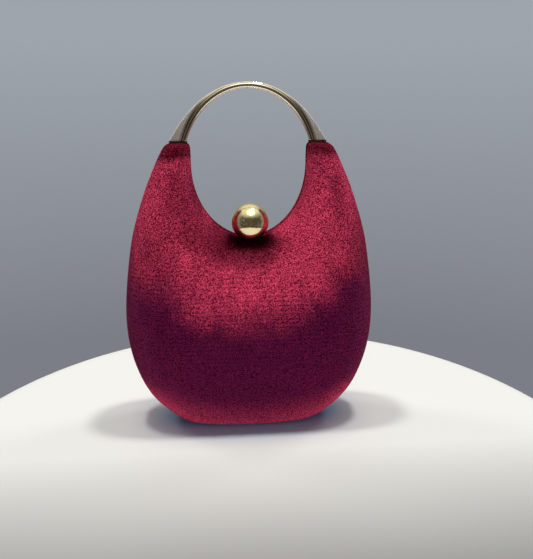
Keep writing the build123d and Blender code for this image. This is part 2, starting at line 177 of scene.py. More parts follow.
def crown(half_width, half_depth, start_y, count):
    """Evenly spaced points (across, y) over one section from its outer edge to its inner one."""
    angle = np.linspace(0, math.pi, 1201)
    cosine, sine = np.cos(angle), np.sin(angle)
    across = half_width * np.sign(cosine) * np.abs(cosine) ** (2 / BULGE)
    y = half_depth * np.abs(sine) ** (2 / BULGE)
    keep = y >= start_y
    across, y = across[keep], y[keep]
    length = np.concatenate([[0], np.cumsum(np.hypot(np.diff(across), np.diff(y)))])
    even = np.linspace(0, length[-1], count)
    return np.interp(even, length, across), np.interp(even, length, y)


def wave_noise(points, scale, seed):
    """Smooth noise of about -1 to 1, from three octaves of five random plane waves."""
    rng = np.random.default_rng(seed)
    out = np.zeros(len(points))
    strength, total = 1.0, 0.0
    for _ in range(3):
        for _ in range(5):
            direction = rng.normal(0, 1, 3)
            direction *= 2 * math.pi / (scale * np.linalg.norm(direction))
            out += strength / 2.2 * np.sin(points @ direction + rng.uniform(0, 2 * math.pi))
        total += strength
        strength *= 0.5
        scale *= 0.5
    return out / total


# ------------------------------------------------------------------ mesh helpers
def mesh_object(name, verts, faces):
    mesh = bpy.data.meshes.new(name)
    mesh.from_pydata([tuple(point) for point in np.asarray(verts)], [], faces)
    mesh.validate()
    mesh.update()
    obj = bpy.data.objects.new(name, mesh)
    scene.collection.objects.link(obj)
    mesh.polygons.foreach_set("use_smooth", [True] * len(mesh.polygons))
    return obj


def grid_faces(rows, cols, flip=False, close_cols=False):
    """Quads over a grid of points stored row by row."""
    faces = []
    for i in range(rows - 1):
        for j in range(cols if close_cols else cols - 1):
            following = (j + 1) % cols
            quad = (i * cols + j, i * cols + following,
                    (i + 1) * cols + following, (i + 1) * cols + j)
            faces.append((quad[0], *quad[:0:-1]) if flip else quad)
    return faces


def end_faces(rows, cols):
    """One face on the first row of a closed grid and one on the last, facing opposite ways."""
    return tuple(range(cols)), tuple(reversed(range((rows - 1) * cols, rows * cols)))


def subsurf(obj):
    modifier = obj.modifiers.new("smooth", "SUBSURF")
    modifier.levels = modifier.render_levels = 1


def solidify(obj, thickness, offset=-1.0):
    modifier = obj.modifiers.new("thickness", "SOLIDIFY")
    modifier.thickness, modifier.offset = thickness, offset
    modifier.use_even_offset = False


def paint(obj, material):
    obj.data.materials.clear()
    obj.data.materials.append(material)


def attach(obj, body, replaced=None):
    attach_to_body(obj, body)
    if replaced:
        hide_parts(replaced)


# ------------------------------------------------------------------ shader helpers
class ShaderTree:
    """Short form for building a node tree. Methods return output sockets."""

    def __init__(self, tree, space):
        self.tree = tree
        self.coord = self.add("ShaderNodeTexCoord").outputs[space]

    def add(self, kind):
        return self.tree.nodes.new(kind)

    def link(self, output, socket):
        self.tree.links.new(output, socket)

    def put(self, socket, value):
        """Give an input a number, a colour or a link."""
        if isinstance(value, (int, float)):
            socket.default_value = (value, value, value, 1) if socket.type == "RGBA" else value
        elif isinstance(value, tuple):
            socket.default_value = (*value, 1)
        else:
            self.link(value, socket)

    def noise(self, scale, detail=2.0, rough=0.5, vector=None, distortion=0.0):
        node = self.add("ShaderNodeTexNoise")
        node.inputs["Scale"].default_value = scale
        node.inputs["Detail"].default_value = detail
        node.inputs["Roughness"].default_value = rough
        node.inputs["Distortion"].default_value = distortion
        self.link(vector or self.coord, node.inputs["Vector"])
        return node.outputs["Fac"]

    def streaks(self, stretch, turn=(0, 0, 0), detail=3.0, rough=0.6):
        """Noise with its own scale on each axis."""
        node = self.add("ShaderNodeMapping")
        node.inputs["Scale"].default_value = stretch
        node.inputs["Rotation"].default_value = turn
        self.link(self.coord, node.inputs["Vector"])
        return self.noise(scale=1, detail=detail, rough=rough, vector=node.outputs["Vector"])

    def cells(self, scale):
        node = self.add("ShaderNodeTexVoronoi")
        node.inputs["Scale"].default_value = scale
        self.link(self.coord, node.inputs["Vector"])
        return node.outputs["Distance"]

    def wave(self, axis, **settings):
        node = self.add("ShaderNodeTexWave")
        node.wave_type, node.bands_direction = "BANDS", axis
        for name, value in settings.items():
            node.inputs[name.replace("_", " ").title()].default_value = value
        self.link(self.coord, node.inputs["Vector"])
        return node.outputs["Fac"]

    def calc(self, operation, *values):
        node = self.add("ShaderNodeMath")
        node.operation = operation
        for socket, value in zip(node.inputs, values):
            self.put(socket, value)
        return node.outputs[0]

    def plus(self, value, more):
        return self.calc("ADD", value, more)

    def minus(self, value, less):
        return self.calc("SUBTRACT", value, less)

    def mul(self, value, by):
        return self.calc("MULTIPLY", value, by)

    def larger(self, value, other):
        return self.calc("MAXIMUM", value, other)

    def invert(self, value):
        return self.minus(1.0, value)

    def centred(self, value):
        return self.minus(value, 0.5)

    def linear(self, value, gain, base):
        return self.plus(self.mul(value, gain), base)

    def sum_squares(self, first, second):
        return self.plus(self.mul(first, first), self.mul(second, second))

    def offset(self, value, centre, radius):
        """Distance from a centre, as a multiple of a radius."""
        return self.calc("DIVIDE", self.minus(value, centre), radius)

    def remap(self, value, span, out=(0.0, 1.0), smooth=True):
        """Map span to out, clamped at both ends."""
        node = self.add("ShaderNodeMapRange")
        node.interpolation_type = "SMOOTHSTEP" if smooth else "LINEAR"
        for i, limit in zip((1, 2, 3, 4), (*span, *out)):
            node.inputs[i].default_value = limit
        self.link(value, node.inputs[0])
        return node.outputs[0]

    def band(self, value, centre, span, out=(1.0, 0.0)):
        """Map the distance to either side of a centre."""
        return self.remap(self.calc("ABSOLUTE", self.minus(value, centre)), span, out)

    def mix(self, factor, first, second, blend="MIX"):
        node = self.add("ShaderNodeMix")
        node.data_type = "RGBA"
        node.blend_type = blend
        for i, value in ((0, factor), (6, first), (7, second)):
            self.put(node.inputs[i], value)
        return node.outputs[2]

    def separate(self, vector=None):
        node = self.add("ShaderNodeSeparateXYZ")
        self.link(vector or self.coord, node.inputs[0])
        return node.outputs


class Surface(ShaderTree):
    """A material round one Principled BSDF, textured in object space."""

    INPUTS = {
        "color": "Base Color", "rough": "Roughness", "metal": "Metallic",
        "sheen": "Sheen Weight", "sheen_rough": "Sheen Roughness", "sheen_tint": "Sheen Tint",
        "spec": "Specular IOR Level", "aniso": "Anisotropic",
    }

    def __init__(self, name):
        self.material = bpy.data.materials.new(name)
        self.material.use_nodes = True
        super().__init__(self.material.node_tree, "Object")
        self.bsdf = self.tree.nodes["Principled BSDF"]

    def attribute(self, name):
        node = self.add("ShaderNodeAttribute")
        node.attribute_name = name
        return node.outputs["Fac"]

    def bump(self, height, strength, distance):
        """Add a bump on top of those already there."""
        node = self.add("ShaderNodeBump")
        node.inputs["Strength"].default_value = strength
        node.inputs["Distance"].default_value = distance
        self.link(height, node.inputs["Height"])
        earlier = self.bsdf.inputs["Normal"].links
        if earlier:
            self.link(earlier[0].from_socket, node.inputs["Normal"])
        self.link(node.outputs["Normal"], self.bsdf.inputs["Normal"])

    def set(self, **values):
        for key, value in values.items():
            self.put(self.bsdf.inputs[self.INPUTS[key]], value)


def scaled(color, by):
    """A colour times one factor, or times one factor per channel."""
    return tuple(float(channel) for channel in np.multiply(color, by))


# ------------------------------------------------------------------ velvet
# patches of painted shade, among them the knob's shadow and shade along the horns: (x, z) of the
# middle, (x, z) radii, how much it darkens
PAINTED_SHADE_PATCHES = (
    ((-0.037, 0.150), (0.010, 0.026), 0.55), ((-0.0475, 0.163), (0.006, 0.018), 0.45),
    ((-0.060, 0.120), (0.012, 0.022), 0.35), ((0.056, 0.163), (0.006, 0.016), 0.40),
    ((0.058, 0.094), (0.017, 0.020), 0.40), ((-0.022, 0.1350), (0.020, 0.0100), 0.65),
    ((-0.004, 0.1240), (0.026, 0.0080), 0.45), ((-0.036, 0.070), (0.018, 0.020), 0.45),
    ((-0.036, 0.1400), (0.018, 0.0130), 0.38), ((-0.058, 0.1340), (0.018, 0.0200), 0.28),
    ((0.070, 0.1280), (0.012, 0.0280), 0.28), ((0.012, 0.1300), (0.015, 0.0085), 0.50),
    ((-0.012, 0.1310), (0.015, 0.0080), 0.40), ((-0.050, 0.1600), (0.015, 0.0280), 0.20),
)
# colours of the pile between the tufts and on them: painted-shaded copies low and high, the painted-lit
# copy, painted shade for the horn tops, the knob's painted shadow and a painted glint
PILE_SHADED_LOW = ((0.024, 0.0014, 0.012), (0.150, 0.0085, 0.055))
PILE_SHADED_HIGH = ((0.022, 0.0009, 0.0035), (0.165, 0.0080, 0.026))
PILE_PAINTED_LIT = ((0.120, 0.004, 0.018), (1.0, 0.078, 0.170))
PILE_TIP_SHADE = ((0.022, 0.0008, 0.003), (0.20, 0.009, 0.024))
PILE_KNOB_SHADOW = (0.014, 0.0006, 0.002)
PILE_GLINT = (1.0, 0.34, 0.46)


def velvet_grain(mat, pos):
    """Short pile: light and dark tufts on faint rows of backing weave, strongest at the belly."""
    tuft = mat.noise(scale=1350, detail=1.0, rough=0.75)
    tuft_fine = mat.noise(scale=2700, detail=1.0, rough=0.6)
    rows = mat.wave("Z", scale=105, distortion=4.0, detail=2.0, detail_scale=9.0)
    belly = mat.band(pos[2], centre=0.085, span=(0.02, 0.05), out=(1.0, 0.25))
    grain = mat.plus(mat.mul(tuft, by=0.72), mat.mul(tuft_fine, by=0.24))
    grain = mat.plus(grain, mat.mul(mat.mul(mat.centred(rows), belly), by=0.05))
    return mat.remap(grain, span=(0.415, 0.555), smooth=False)


def velvet_nap(mat):
    """How the pile lies: broad brushed patches and short vertical streaks."""
    patch = mat.noise(scale=22, detail=3.0, rough=0.55, distortion=0.4)
    streak = mat.streaks((150, 150, 34), detail=4.0, rough=0.65)
    nap = mat.plus(mat.mul(patch, by=0.7), mat.mul(streak, by=0.3))
    return mat.remap(nap, span=(0.36, 0.64))


def velvet_painted_light(mat, pos, normal, x_squared, nap):
    """Painted light and shade on the pile, and how far a point counts as horn tip."""
    # painted light above the belly and painted shade below it and where the surface turns down
    height = mat.minus(pos[2], mat.mul(x_squared, by=6.5))
    height = mat.plus(height, mat.mul(mat.centred(nap), by=0.012))
    height = mat.minus(height, mat.mul(pos[0], by=0.05))
    light = mat.remap(height, span=(0.060, 0.107))
    light = mat.mul(light, mat.remap(normal[2], span=(-0.45, -0.10)))
    # painted shade towards the sides, except on the horns
    side = mat.remap(x_squared, span=(0.0017, 0.0060), out=(1.0, 0.70))
    lift = mat.remap(pos[2], span=(0.118, 0.165))
    light = mat.mul(light, mat.mix(lift, side, 1.0))
    light = mat.mul(light, mat.remap(nap, span=(0.0, 1.0), out=(0.74, 1.0)))
    # patches of painted shade
    for (middle_x, middle_z), (radius_x, radius_z), amount in PAINTED_SHADE_PATCHES:
        off_x = mat.offset(pos[0], middle_x, radius_x)
        off_z = mat.offset(pos[2], middle_z, radius_z)
        reach = mat.sum_squares(off_x, off_z)
        reach = mat.plus(reach, mat.mul(mat.centred(nap), by=0.7))
        light = mat.mul(light, mat.remap(reach, span=(0.0, 1.5), out=(1.0 - amount, 1.0)))
    # painted shade on the horn tops
    tip = mat.plus(pos[2], mat.mul(mat.centred(nap), by=0.005))
    tip = mat.remap(tip, span=(0.1830, 0.1910))
    light = mat.mul(light, mat.invert(mat.mul(tip, by=0.75)))
    # the turned lower edge catches the table's light
    foot = mat.plus(pos[2], mat.mul(x_squared, by=-3.0))
    foot = mat.remap(foot, span=(-0.010, 0.026), out=(1.0, 0.0))
    foot = mat.larger(mat.mul(foot, by=0.80), mat.remap(normal[2], span=(-0.20, -0.58)))
    low = mat.remap(pos[2], span=(0.05, 0.09), out=(1.0, 0.0))
    return mat.larger(light, mat.mul(foot, low)), tip


def velvet_knob_shadow(mat, pos):
    """Painted shadow on the front, right under the knob."""
    off_x = mat.calc("DIVIDE", pos[0], 0.0190)
    off_z = mat.offset(pos[2], centre=0.1325, radius=0.0062)
    knob_shadow = mat.remap(mat.sum_squares(off_x, off_z), span=(0.2, 1.5), out=(1.0, 0.0))
    return mat.mul(knob_shadow, mat.remap(pos[1], span=(-0.002, -0.006)))


def velvet_material():
    mat = Surface("wine_velvet")
    normal = mat.separate(mat.add("ShaderNodeNewGeometry").outputs["Normal"])
    pos = mat.separate()
    x_squared = mat.mul(pos[0], pos[0])
    grain = velvet_grain(mat, pos)
    nap = velvet_nap(mat)
    light, tip = velvet_painted_light(mat, pos, normal, x_squared, nap)
    # painted-shaded copies of the pile, redder higher up, and the painted-lit copy, mixed by the
    # painted light
    shaded_pile = mat.mix(grain, *PILE_SHADED_LOW)
    high = mat.remap(pos[2], span=(0.100, 0.125))
    shaded_pile = mat.mix(high, shaded_pile, mat.mix(grain, *PILE_SHADED_HIGH))
    lit = mat.mix(grain, *PILE_PAINTED_LIT)
    base = mat.mix(light, shaded_pile, lit)
    # painted shade on the horn tops
    tip_shade_color = mat.mix(grain, *PILE_TIP_SHADE)
    base = mat.mix(mat.mul(tip, by=0.92), base, tip_shade_color)
    # painted shadow right under the knob
    knob_shadow = velvet_knob_shadow(mat, pos)
    base = mat.mix(knob_shadow, base, PILE_KNOB_SHADOW)
    # rare painted glints on pile ends, stronger where the pile is painted lit
    spark = mat.remap(mat.cells(scale=900), span=(0.0, 0.24), out=(1.0, 0.0))
    pick = mat.remap(mat.noise(scale=420, detail=1.0), span=(0.55, 0.64))
    shown = mat.mul(spark, pick)
    glint = mat.mul(shown, mat.remap(light, span=(0.0, 1.0), out=(0.25, 0.8)))
    base = mat.mix(glint, base, PILE_GLINT)
    # the sheen fades out in the knob's painted shadow
    mat.set(color=base, rough=0.95, spec=0.0, sheen=mat.mul(mat.invert(knob_shadow), by=0.30),
            sheen_rough=0.25, sheen_tint=(1.0, 0.16, 0.34))
    mat.bump(grain, strength=0.7, distance=0.0006)
    mat.bump(nap, strength=0.25, distance=0.0012)
    return mat.material


# ------------------------------------------------------------------ metals
def gold_material(name, color, rough, scratch, haze=0.0):
    """Gold with hairline scratches; haze adds faint dull blotches to the polish."""
    mat = Surface(name)
    cloud = mat.noise(scale=45, detail=3.0, rough=0.6)
    fine = mat.noise(scale=420, detail=2.0, rough=0.6)
    lines = mat.streaks((900, 60, 900), turn=(0.4, 0.2, 0.9), rough=0.7)
    cross_lines = mat.streaks((80, 1000, 700), turn=(1.1, 0.3, 0.2), rough=0.7)
    hair = mat.larger(mat.remap(lines, span=(0.64, 0.72)),
                      mat.remap(cross_lines, span=(0.66, 0.74)))
    tint = mat.mix(mat.remap(cloud, span=(0.35, 0.65)), scaled(color, by=0.92), color)
    specks = mat.mul(mat.remap(fine, span=(0.58, 0.72)), by=0.35)
    tint = mat.mix(specks, tint, scaled(color, by=0.72))
    dull = mat.plus(mat.mul(cloud, by=rough * 0.8), mat.mul(hair, by=scratch * 0.35))
    dull = mat.plus(dull, rough * 0.5)
    if haze:
        blot = mat.noise(scale=190, detail=3.0, rough=0.7, distortion=1.2)
        mark = mat.remap(blot, span=(0.50, 0.62))
        dull = mat.plus(dull, mat.mul(mark, by=haze))
        tint = mat.mix(mat.mul(mark, by=0.30), tint, scaled(color, by=(0.55, 0.60, 0.62)))
        mat.bump(blot, strength=0.22, distance=0.00025)
    mat.set(color=tint, metal=1.0, rough=dull)
    relief = mat.plus(mat.mul(fine, by=0.3), hair)
    mat.bump(relief, strength=scratch * 0.10, distance=0.00008)
    return mat.material


# places across the handle's profile (mm from its inner side)
HANDLE_FIN_SPAN = (4.2, 6.0)  # where the bead's finish turns into the fin's
HANDLE_CREASE, HANDLE_LINE = 3.70, 2.1  # middles of the groove's painted shade and the bead's painted dark reflection
HANDLE_PALE, HANDLE_GREY = (0.93, 0.84, 0.68), (0.99, 0.93, 0.86)
HANDLE_BRUSHED, HANDLE_SPECK = (0.60, 0.54, 0.43), (0.62, 0.53, 0.38)
HANDLE_PAINTED_DARK = (0.050, 0.018, 0.014)


def handle_material():
    """The bead is bright, the fin is brushed along the arch, painted shade sits in the groove and a
    painted dark reflection along the bead.
    """
    mat = Surface("brushed_pale_gold")
    across = mat.attribute("across")
    along = mat.attribute("along")
    brushed = mat.add("ShaderNodeCombineXYZ")
    mat.link(mat.mul(across, by=3.2), brushed.inputs[0])
    mat.link(mat.mul(along, by=0.05), brushed.inputs[1])
    brush = mat.noise(scale=1.6, detail=3.0, rough=0.75, vector=brushed.outputs[0])
    cloud = mat.noise(scale=60, detail=3.0, rough=0.6)
    fine = mat.noise(scale=520, detail=2.0, rough=0.6)
    fin = mat.remap(across, HANDLE_FIN_SPAN)
    crease = mat.band(across, HANDLE_CREASE, span=(0.15, 0.70))
    line = mat.band(across, HANDLE_LINE, span=(0.10, 0.75))
    low = mat.remap(mat.separate()[2], span=(0.206, 0.230), out=(1.0, 0.30))
    tint = mat.mix(fin, HANDLE_PALE, HANDLE_GREY)
    strokes = mat.mul(mat.remap(brush, span=(0.40, 0.62)), by=0.35)
    tint = mat.mix(strokes, tint, HANDLE_BRUSHED)
    specks = mat.mul(mat.remap(fine, span=(0.58, 0.72)), by=0.25)
    tint = mat.mix(specks, tint, HANDLE_SPECK)
    # painted shade in the groove and painted dark reflection along the bead, strongest low on the arch
    painted_dark = mat.larger(crease, mat.mul(line, by=0.85))
    tint = mat.mix(mat.mul(mat.mul(painted_dark, low), by=0.96), tint, HANDLE_PAINTED_DARK)
    dull = mat.plus(mat.mul(cloud, by=0.10), mat.mul(fin, by=0.30))
    dull = mat.plus(dull, mat.mul(brush, by=0.14))
    mat.set(color=tint, metal=mat.invert(mat.mul(fin, by=0.20)), rough=dull)
    mat.bump(brush, strength=0.20, distance=0.00006)
    mat.bump(fine, strength=0.05, distance=0.00008)
    return mat.material


def steel_material():
    mat = Surface("bright_steel")
    color = (0.55, 0.55, 0.57)
    line = mat.streaks((300, 2600, 2600))
    mat.set(color=mat.mix(line, scaled(color, by=0.85), color), metal=1.0,
            rough=mat.linear(line, gain=0.25, base=0.168))
    mat.bump(line, strength=0.15, distance=0.00005)
    return mat.material


# ------------------------------------------------------------------ cloth, foam and plastics
SATIN_DARK, SATIN_LIGHT = (0.110, 0.006, 0.021), (0.15, 0.009, 0.028)
SATIN_SLUB, SATIN_WEAVE = (0.27, 0.025, 0.06), (0.055, 0.002, 0.010)


def satin_material():
    mat = Surface("wine_satin")
    warp = mat.wave("X", scale=420, distortion=1.5)
    weft = mat.wave("Z", scale=300, distortion=1.5)
    cloth = mat.mul(warp, weft)
    soft = mat.noise(scale=60, detail=3.0, rough=0.6)
    slub = mat.streaks((1200, 1200, 40))
    color = mat.mix(mat.remap(soft, span=(0.2, 0.8)), SATIN_DARK, SATIN_LIGHT)
    color = mat.mix(mat.mul(slub, by=0.30), color, SATIN_SLUB)
    color = mat.mix(mat.mul(cloth, by=0.35), color, SATIN_WEAVE)
    mat.set(color=color, rough=mat.linear(slub, gain=0.20, base=0.22), sheen=0.08,
            sheen_tint=(1.0, 0.35, 0.45), spec=0.75, aniso=0.6)
    mat.bump(cloth, strength=0.25, distance=0.0001)
    mat.bump(slub, strength=0.35, distance=0.0004)
    mat.bump(soft, strength=0.12, distance=0.0010)
    return mat.material


def foam_material():
    mat = Surface("pale_foam")
    cells = mat.cells(scale=900)
    tone = mat.noise(scale=40, detail=3.0, rough=0.6)
    color = mat.mix(mat.mul(cells, tone), (0.62, 0.58, 0.48), (0.80, 0.77, 0.68))
    mat.set(color=color, rough=0.95, spec=0.1)
    mat.bump(cells, strength=0.5, distance=0.0004)
    return mat.material


def plastic_material():
    mat = Surface("black_moulding")
    grain = mat.noise(scale=900, detail=3.0, rough=0.6)
    tone = mat.noise(scale=30, detail=2.0, rough=0.5)
    mat.set(color=mat.mix(tone, (0.018, 0.018, 0.020), (0.035, 0.034, 0.036)),
            rough=mat.linear(grain, gain=0.25, base=0.35))
    mat.bump(grain, strength=0.3, distance=0.00015)
    return mat.material


def rubber_material():
    mat = Surface("black_gasket")
    grain = mat.noise(scale=1400, detail=3.0, rough=0.6)
    dust = mat.noise(scale=120, detail=4.0, rough=0.7)
    dusty = mat.remap(dust, span=(0.5, 0.8))
    mat.set(color=mat.mix(dusty, (0.008, 0.005, 0.006), (0.035, 0.022, 0.024)),
            rough=mat.linear(grain, gain=0.25, base=0.5), spec=0.35)
    mat.bump(grain, strength=0.35, distance=0.0001)
    return mat.material


def thread_material():
    mat = Surface("wine_thread")
    ply = mat.streaks((2600, 2600, 2600), detail=2.0, rough=0.5)
    mat.set(color=mat.mix(ply, (0.20, 0.012, 0.035), (0.42, 0.05, 0.10)), rough=0.6, sheen=0.4)
    mat.bump(ply, strength=0.4, distance=0.00008)
    return mat.material


VELVET = velvet_material()
HANDLE_GOLD = handle_material()
BALL_GOLD = gold_material(
    "polished_ball_gold", color=(0.88, 0.75, 0.45), rough=0.11, scratch=0.60, haze=0.07)
SATIN_GOLD = gold_material("satin_pale_gold", color=(0.84, 0.70, 0.44), rough=0.26, scratch=0.5)
STEEL = steel_material()
SATIN = satin_material()
FOAM = foam_material()
PLASTIC = plastic_material()
RUBBER = rubber_material()
THREAD = thread_material()

STEEL_PARTS = ("clasp_lever", "clasp_pivot_pin", "clasp_spring", "handle_screws")


def cad_material(name):
    """Material for a CAD piece, from its name."""
    if "padding" in name:
        return FOAM
    if name.endswith("_shell"):
        return PLASTIC
    if "lining" in name:
        return SATIN
    if "velvet" in name:
        return VELVET
    if "spacer" in name:
        return RUBBER
    if name in STEEL_PARTS or "hinge_pin" in name:
        return STEEL
    return SATIN_GOLD


for node_name, node in nodes.items():
    for slot in node.material_slots:
        slot.material = cad_material(node_name)
    if not node.material_slots:
        node.data.materials.append(cad_material(node_name))


# ------------------------------------------------------------------ velvet covers (mm)
COVER_SPACING = 2.2
CROWN_COLS = 46
SEAM = 1.4  # height of a cover's edge above the seam plane
HINGE_X = 30.0  # the two hinges sit this far either side of the middle
HINGE_HALF, HINGE_SOFT, HINGE_LIFT = 8.6, 1.2, 2.1  # gap in the outer edge over each hinge
NOTCH_HALF, NOTCH_SOFT = 1.55, 0.9  # notch at the middle of the inner edge
NOTCH_LIFT = {FRONT: 0.95, BACK: 2.15}
# the turned edge: height above the edge, and how far it is tucked in
EDGE_LIFT = [0.35, 0.06, 0.0, 0.05, 0.16, 0.32, 0.52, 0.78, 1.12, 1.55, 2.1]
EDGE_TUCK = [1.62, 1.50, 1.15, 0.82, 0.56, 0.36, 0.20, 0.09, 0.03, 0.0, 0.0]
# rings that close a horn's top: share of the rim's size, rise
CAP_RINGS = (
    (0.97, 0.02), (0.90, 0.03), (0.78, 0.04), (0.60, 0.05), (0.38, 0.05), (0.16, 0.05),
    (0.02, 0.05),
)
CAP_ROLL_HEIGHT, CAP_ROLL_DROP = 1.6, 1.1  # the cap rolls down next to the seam


def window(x, half, soft):
    """1 within half of zero, falling to 0 over the next soft."""
    return np.clip((half + soft - np.abs(x)) / soft, 0, 1)


def half_width_at(y, half_width, half_depth):
    """Half width of a section's superellipse at height y."""
    share = np.minimum(y, half_depth * 0.98) / half_depth
    return half_width * (1 - share**BULGE) ** (1 / BULGE)


def cover_points(side):
    """Points of a cover by section and column, from the outer edge over the crown to the inner."""
    rows = rings(COVER_SPACING)
    inner_x, inner_z, outer_x, outer_z, depth = rows.T
    half_width, unit_x, unit_z, middle_x, middle_z = section_axes(rows)
    notch = NOTCH_LIFT[side] * window(inner_x, NOTCH_HALF, NOTCH_SOFT)
    mouth_in = np.where(inner_z < 140, SEAM + notch, SEAM)
    hinge = window(np.abs(outer_x) - HINGE_X, HINGE_HALF, HINGE_SOFT)
    mouth_out = np.where(outer_z < 8, SEAM + HINGE_LIFT * hinge, SEAM)
    edge = len(EDGE_LIFT)
    half = CROWN_COLS // 2
    across, y, tuck = (np.zeros((len(rows), 2 * edge + CROWN_COLS)) for _ in range(3))
    tuck[:, :edge] = EDGE_TUCK
    tuck[:, -edge:] = EDGE_TUCK[::-1]
    for i in range(len(rows)):
        low_out, low_in = mouth_out[i] + EDGE_LIFT[-1], mouth_in[i] + EDGE_LIFT[-1]
        crown_across, crown_y = crown(
            half_width[i], depth[i], min(low_out, low_in), CROWN_COLS + 2)
        edge_out, edge_in = mouth_out[i] + np.array(EDGE_LIFT), mouth_in[i] + np.array(EDGE_LIFT)
        across[i, :edge] = half_width_at(edge_out, half_width[i], depth[i])
        across[i, -edge:] = -half_width_at(edge_in, half_width[i], depth[i])[::-1]
        across[i, edge:-edge] = crown_across[1:-1]
        # crown points below a lifted edge move up to it, fanned out a little on the outer side
        body_y = crown_y[1:-1].copy()
        below = body_y[:half] <= low_out - 1e-6
        body_y[:half] = np.maximum(body_y[:half], low_out + 0.03 * np.arange(half) * below)
        body_y[half:] = np.maximum(body_y[half:], low_in)
        y[i, :edge], y[i, -edge:], y[i, edge:-edge] = edge_out, edge_in[::-1], body_y
    # flat base with a soft edge, then the turned edge
    direction = np.sign(across)
    x = middle_x[:, None] + unit_x[:, None] * across - unit_x[:, None] * direction * tuck
    z = smooth_floor(middle_z[:, None] + unit_z[:, None] * across, 0.0, 2.2)
    at_base = (across > 0) & (outer_z < 6)[:, None]
    z = z + np.where(at_base, tuck, -unit_z[:, None] * direction * tuck)
    # groove along the outer edge under the base
    under = (across > 0) & (outer_z < 2)[:, None]
    z = np.where(under, np.maximum(z, np.clip(2.95 - y, 0, 1.7)), z)
    return np.stack([x, y, z], 2)


def cap_rings(rim):
    """Rings that close the flat top of a horn, from its rim inwards."""
    x, y, z = rim.T
    middle_x = x.mean()
    out = []
    for share, rise in CAP_RINGS:
        ring_y = SEAM + (y - SEAM) * share
        near_seam = np.clip((SEAM + CAP_ROLL_HEIGHT - ring_y) / CAP_ROLL_HEIGHT, 0, 1)
        roll = CAP_ROLL_DROP * (1 - np.sqrt(np.clip(1 - near_seam**2, 0, 1)))
        out.append(np.stack([middle_x + (x - middle_x) * share, ring_y, z.max() + rise - roll], 1))
    return out


def make_cover(side, half_name):
    sections = cover_points(side)
    sections = np.array(cap_rings(sections[0])[::-1] + list(sections) + cap_rings(sections[-1]))
    count, cols = sections.shape[:2]
    points = sections.reshape(-1, 3).copy()
    # small unevenness of cloth pulled over foam, fading at the seam, base and tips
    uneven = 0.16 * wave_noise(points, 34, 3 + side) + 0.05 * wave_noise(points, 9, 11 + side)
    fade = np.clip((points[:, 1] - 2.6) / 4, 0, 1) * np.clip(points[:, 2] / 6, 0, 1)
    fade *= np.clip((193.0 - points[:, 2]) / 5, 0, 1)
    points[:, 1] += uneven * fade
    points[:, 1] *= side
    obj = mesh_object(
        f"velvet_{half_name}", points * MM, grid_faces(count, cols, flip=(side == BACK)))
    paint(obj, VELVET)
    solidify(obj, 0.0007)
    subsurf(obj)
    attach(obj, half_name, f"{half_name}_velvet_cover")
    return obj


velvet_front = make_cover(FRONT, "front")
make_cover(BACK, "back")


# ------------------------------------------------------------------ satin linings (mm)
LINING_INSET = 5.6
LINING_SPACING = 1.25
LINING_COLS = 46
LINING_START = 1.6  # height of a lining's edge above the seam plane
GATHERS = 61


def lining_sections():
    """Points of a lining by section and column, closed inside the horn tips."""
    rows = rings(LINING_SPACING, inset=LINING_INSET)
    half_width, unit_x, unit_z, middle_x, middle_z = section_axes(rows)
    sections = []
    for i in range(len(rows)):
        across, y = crown(half_width[i], rows[i, 4], LINING_START, LINING_COLS)
        z = smooth_floor(middle_z[i] + unit_z[i] * across, LINING_INSET, 3.0)
        sections.append(np.stack([middle_x[i] + unit_x[i] * across, y, z], 1))
    ends = []
    for ring in (sections[0], sections[-1]):
        centre = np.array([ring[:, 0].mean(), LINING_START, ring[:, 2].max() + 0.1])
        ends.append([centre + (ring - centre) * [share, share, 0.2] for share in (0.85, 0.55, 0.2)])
    return np.array(ends[0][::-1] + sections + ends[1])


def lining_puff(points, count, side):
    """How far each point sags towards the seam plane: gathers from the rim and loose cloth."""
    along = np.repeat(np.linspace(0, 1, count), LINING_COLS)
    across = np.tile(np.linspace(0, 1, LINING_COLS), count)
    from_rim = np.minimum(across, 1 - across)
    rim = np.clip(from_rim / 0.05, 0, 1)
    reach = 0.30 + 0.10 * wave_noise(points, 34, 12)
    phase = along * 2 * math.pi * GATHERS + 2.0 * wave_noise(points, 60, 5)
    gather = (0.5 + 0.5 * np.sin(phase)) ** 1.6 * (1.05 + 0.45 * wave_noise(points, 30, 8))
    gather = gather * np.clip(1 - from_rim / reach, 0, 1) ** 1.2 * rim
    slack = 0.30 * wave_noise(points, 26, 21 + side) * rim
    puff = np.clip(np.abs(gather) + np.abs(slack), 0, 1.25) * np.clip(points[:, 1] / 5, 0, 1)
    if side == BACK:
        # nearly flat low in the middle
        from_middle = np.abs(points[:, 0])
        flat = np.clip((47 - from_middle) / 3, 0, 1) * np.clip((82 - points[:, 2]) / 3, 0, 1)
        puff = puff * (1 - flat) + 0.02 * flat
        # drawn tight behind the clasp lever
        tight = np.clip((13 - from_middle) / 4, 0, 1) * np.clip((points[:, 2] - 98) / 4, 0, 1)
        puff = puff * (1 - tight)
    return puff


def make_lining(side, half_name):
    sections = lining_sections()
    points = sections.reshape(-1, 3)
    points[:, 1] -= lining_puff(points, len(sections), side)
    # notch under the U for the clasp lever's neck
    notch_y = 3.8
    x, y, z = points.T
    points[(np.abs(x) < 2.4) & (z > 125.5) & (y < notch_y), 1] = notch_y
    points[:, 1] *= side
    faces = grid_faces(len(sections), LINING_COLS, flip=(side == FRONT))
    obj = mesh_object(f"satin_lining_{half_name}", points * MM, faces)
    paint(obj, SATIN)
    solidify(obj, 0.0003)
    attach(obj, half_name, f"{half_name}_lining")


make_lining(FRONT, "front")
make_lining(BACK, "back")


